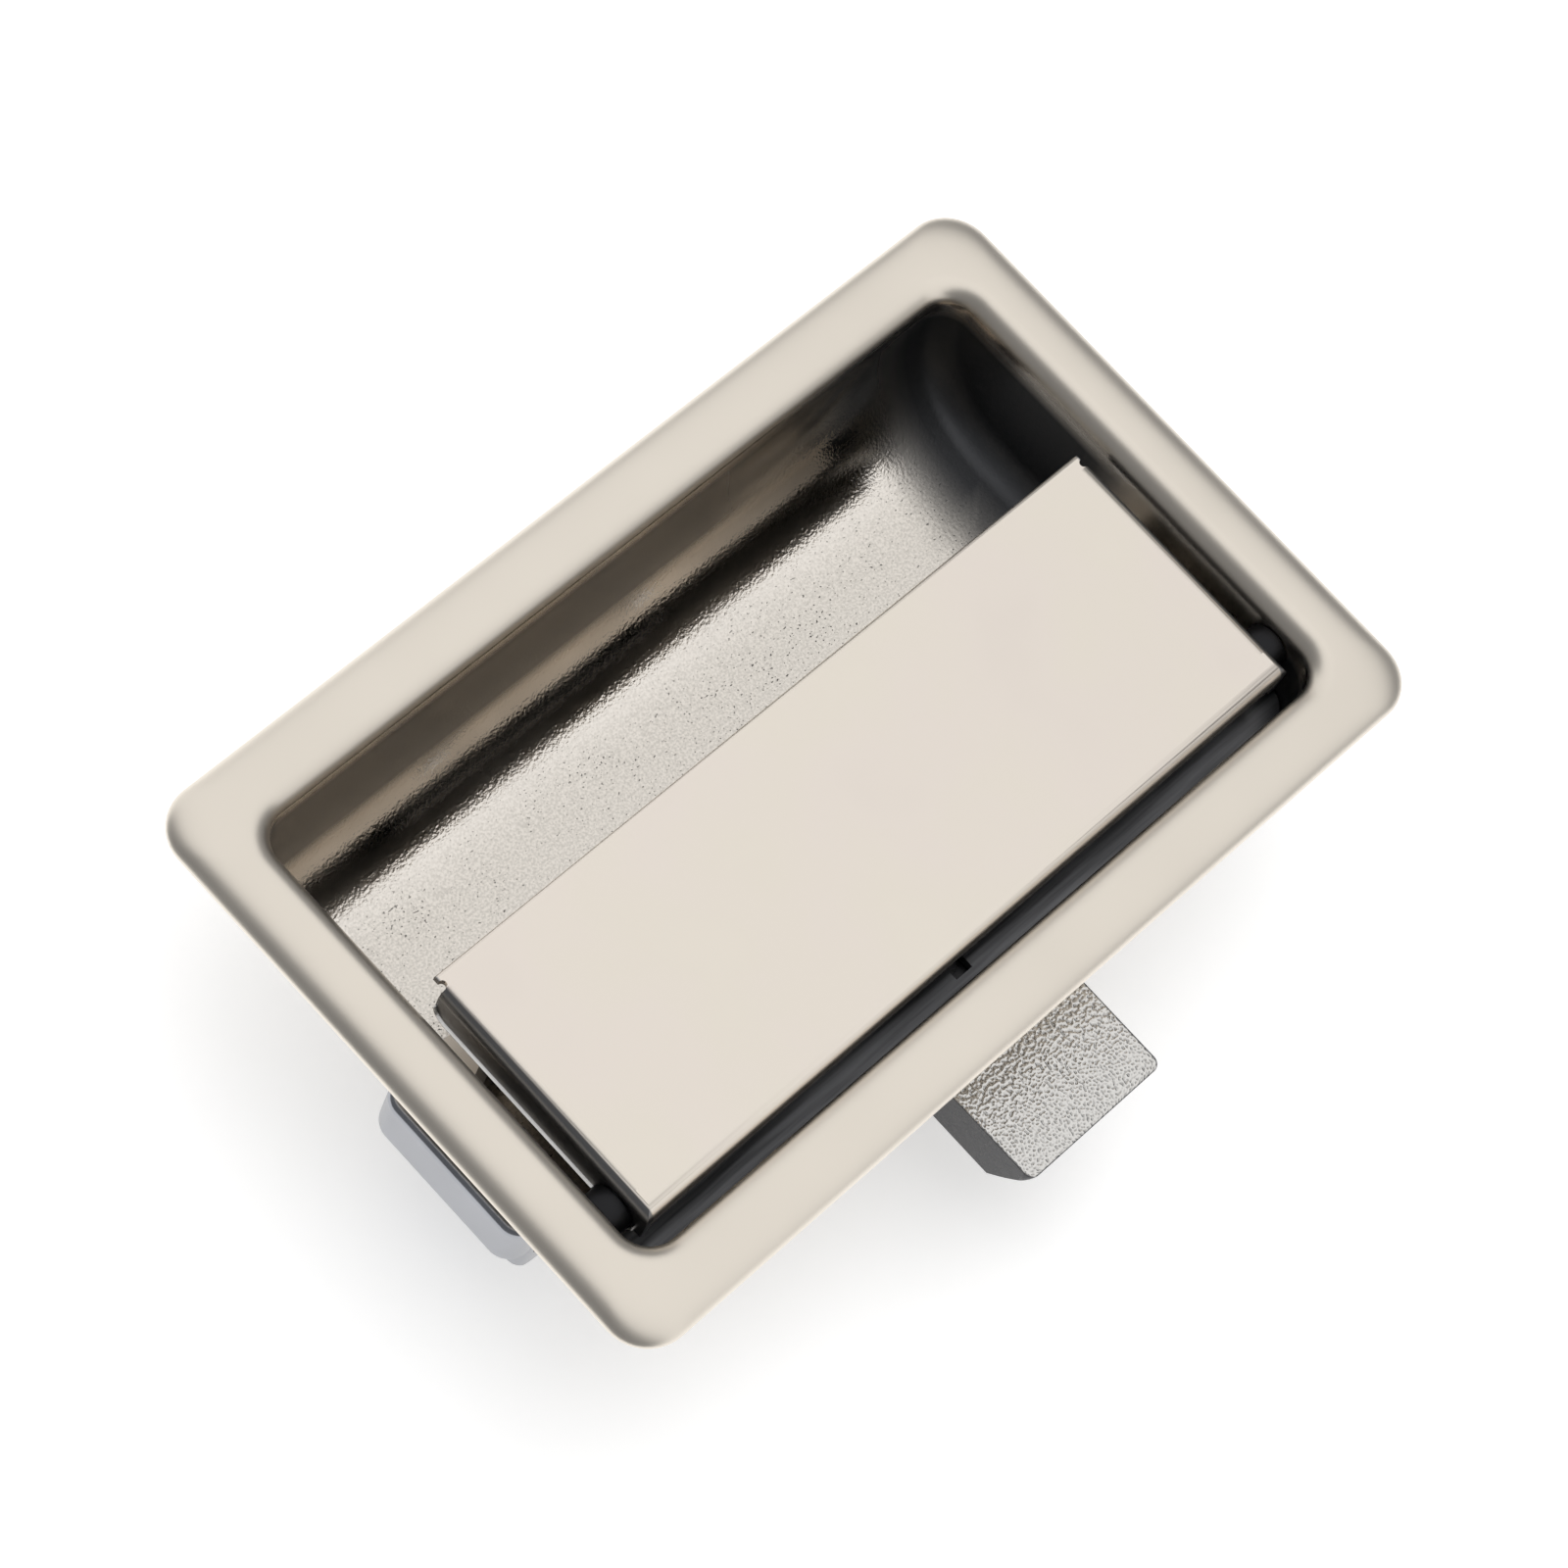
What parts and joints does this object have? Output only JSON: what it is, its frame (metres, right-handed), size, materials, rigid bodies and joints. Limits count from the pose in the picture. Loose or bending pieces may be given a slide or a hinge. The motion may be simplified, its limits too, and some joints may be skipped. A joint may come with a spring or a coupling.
{
  "type": "recessed paddle latch",
  "caption": "Flush-mounted paddle latch: drawn metal pan with a finger trough, hinged paddle, spring-loaded slam bolt and panel clamps behind the flange.",
  "frame": {"origin": "centre of the flange, on the outer face of the panel that the flange rests on", "axes": "+X along the long side, +Y towards the finger trough (the bolt points along -Y), +Z out of the panel"},
  "size_m": [0.11, 0.0804, 0.0326],
  "materials": {
    "pan_nickel": "satin nickel on the flange, polished and slightly pitted in the recess",
    "paddle_nickel": "satin nickel",
    "bolt_cast": "nickel-plated casting with a grained top",
    "clamp_zinc": "bluish bright zinc plate",
    "bright_steel": "bright plated steel",
    "black_steel": "blackened steel",
    "spring_steel": "oiled spring wire"
  },
  "bodies": {
    "housing": {"recess_pan": "pan_nickel", "hinge_pin": "bright_steel", "pin_clip": "spring_steel", "spacer_left": "black_steel", "spacer_right": "black_steel", "bolt_guide": "black_steel", "guide_rivets": "black_steel", "spring_stop": "bright_steel", "stop_rivets": "bright_steel", "spring_pegs": "bright_steel", "stud_left": "bright_steel", "stud_right": "bright_steel", "paddle_spring_left": "spring_steel", "paddle_spring_right": "spring_steel", "bolt_spring_left": "spring_steel", "bolt_spring_right": "spring_steel"},
    "handle": {"paddle": "paddle_nickel", "drive_yoke": "black_steel"},
    "bolt": {"slam_bolt": "bolt_cast"},
    "left_clamp": {"clamp_left": "clamp_zinc", "clamp_washer_left": "clamp_zinc", "clamp_nut_left": "clamp_zinc"},
    "right_clamp": {"clamp_right": "clamp_zinc", "clamp_washer_right": "clamp_zinc", "clamp_nut_right": "clamp_zinc"}
  },
  "joints": [
    {"name": "paddle_hinge", "type": "hinge", "parent": "housing", "child": "handle", "pos_m": [0, -0.0212, -0.0032], "axis": [1, 0, 0], "range_deg": [0, 45], "stiffness_Nm_per_rad": 0.18, "springref_deg": -37.24, "deforming": ["paddle_spring_left", "paddle_spring_right"]},
    {"name": "bolt_slide", "type": "slide", "parent": "housing", "child": "bolt", "axis": [0, 1, 0], "range_m": [0, 0.0086], "deforming": ["bolt_spring_left", "bolt_spring_right"]},
    {"name": "left_clamp_slide", "type": "slide", "parent": "housing", "child": "left_clamp", "axis": [0, 0, 1], "range_m": [-0.003, 0.002]},
    {"name": "right_clamp_slide", "type": "slide", "parent": "housing", "child": "right_clamp", "axis": [0, 0, 1], "range_m": [-0.003, 0.002]}
  ],
  "couplings": [
    {"joint": "bolt_slide", "follows": "paddle_hinge", "m_per_rad": 0.01092}
  ]
}
